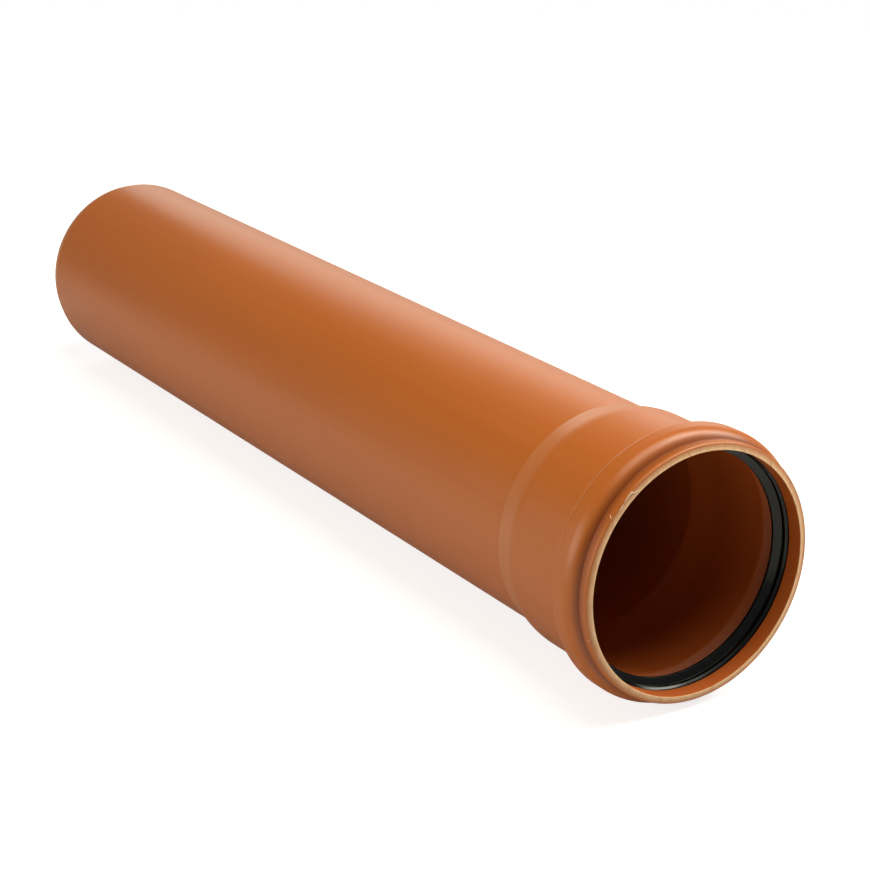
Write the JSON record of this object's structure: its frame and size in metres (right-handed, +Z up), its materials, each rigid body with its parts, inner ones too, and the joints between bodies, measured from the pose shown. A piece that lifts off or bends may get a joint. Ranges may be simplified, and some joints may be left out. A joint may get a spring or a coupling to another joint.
{
  "type": "sewer pipe",
  "caption": "Orange-brown plastic sewer pipe with a chamfered spigot at one end and a push-fit socket with a bead and a black rubber lip seal at the other.",
  "frame": {"origin": "on the floor, under the middle of the pipe as it lies", "axes": "+X from the socket's mouth to the spigot end, +Z up. The pipe lies on its bead and its spigot end, so its axis dips by 0.85 degrees towards the spigot"},
  "size_m": [0.5782, 0.1264, 0.1265],
  "materials": {
    "pvc": "satin orange-brown",
    "rubber": "satin black"
  },
  "bodies": {
    "root": {"pipe": "pvc", "seal_ring": "rubber"}
  },
  "joints": []
}
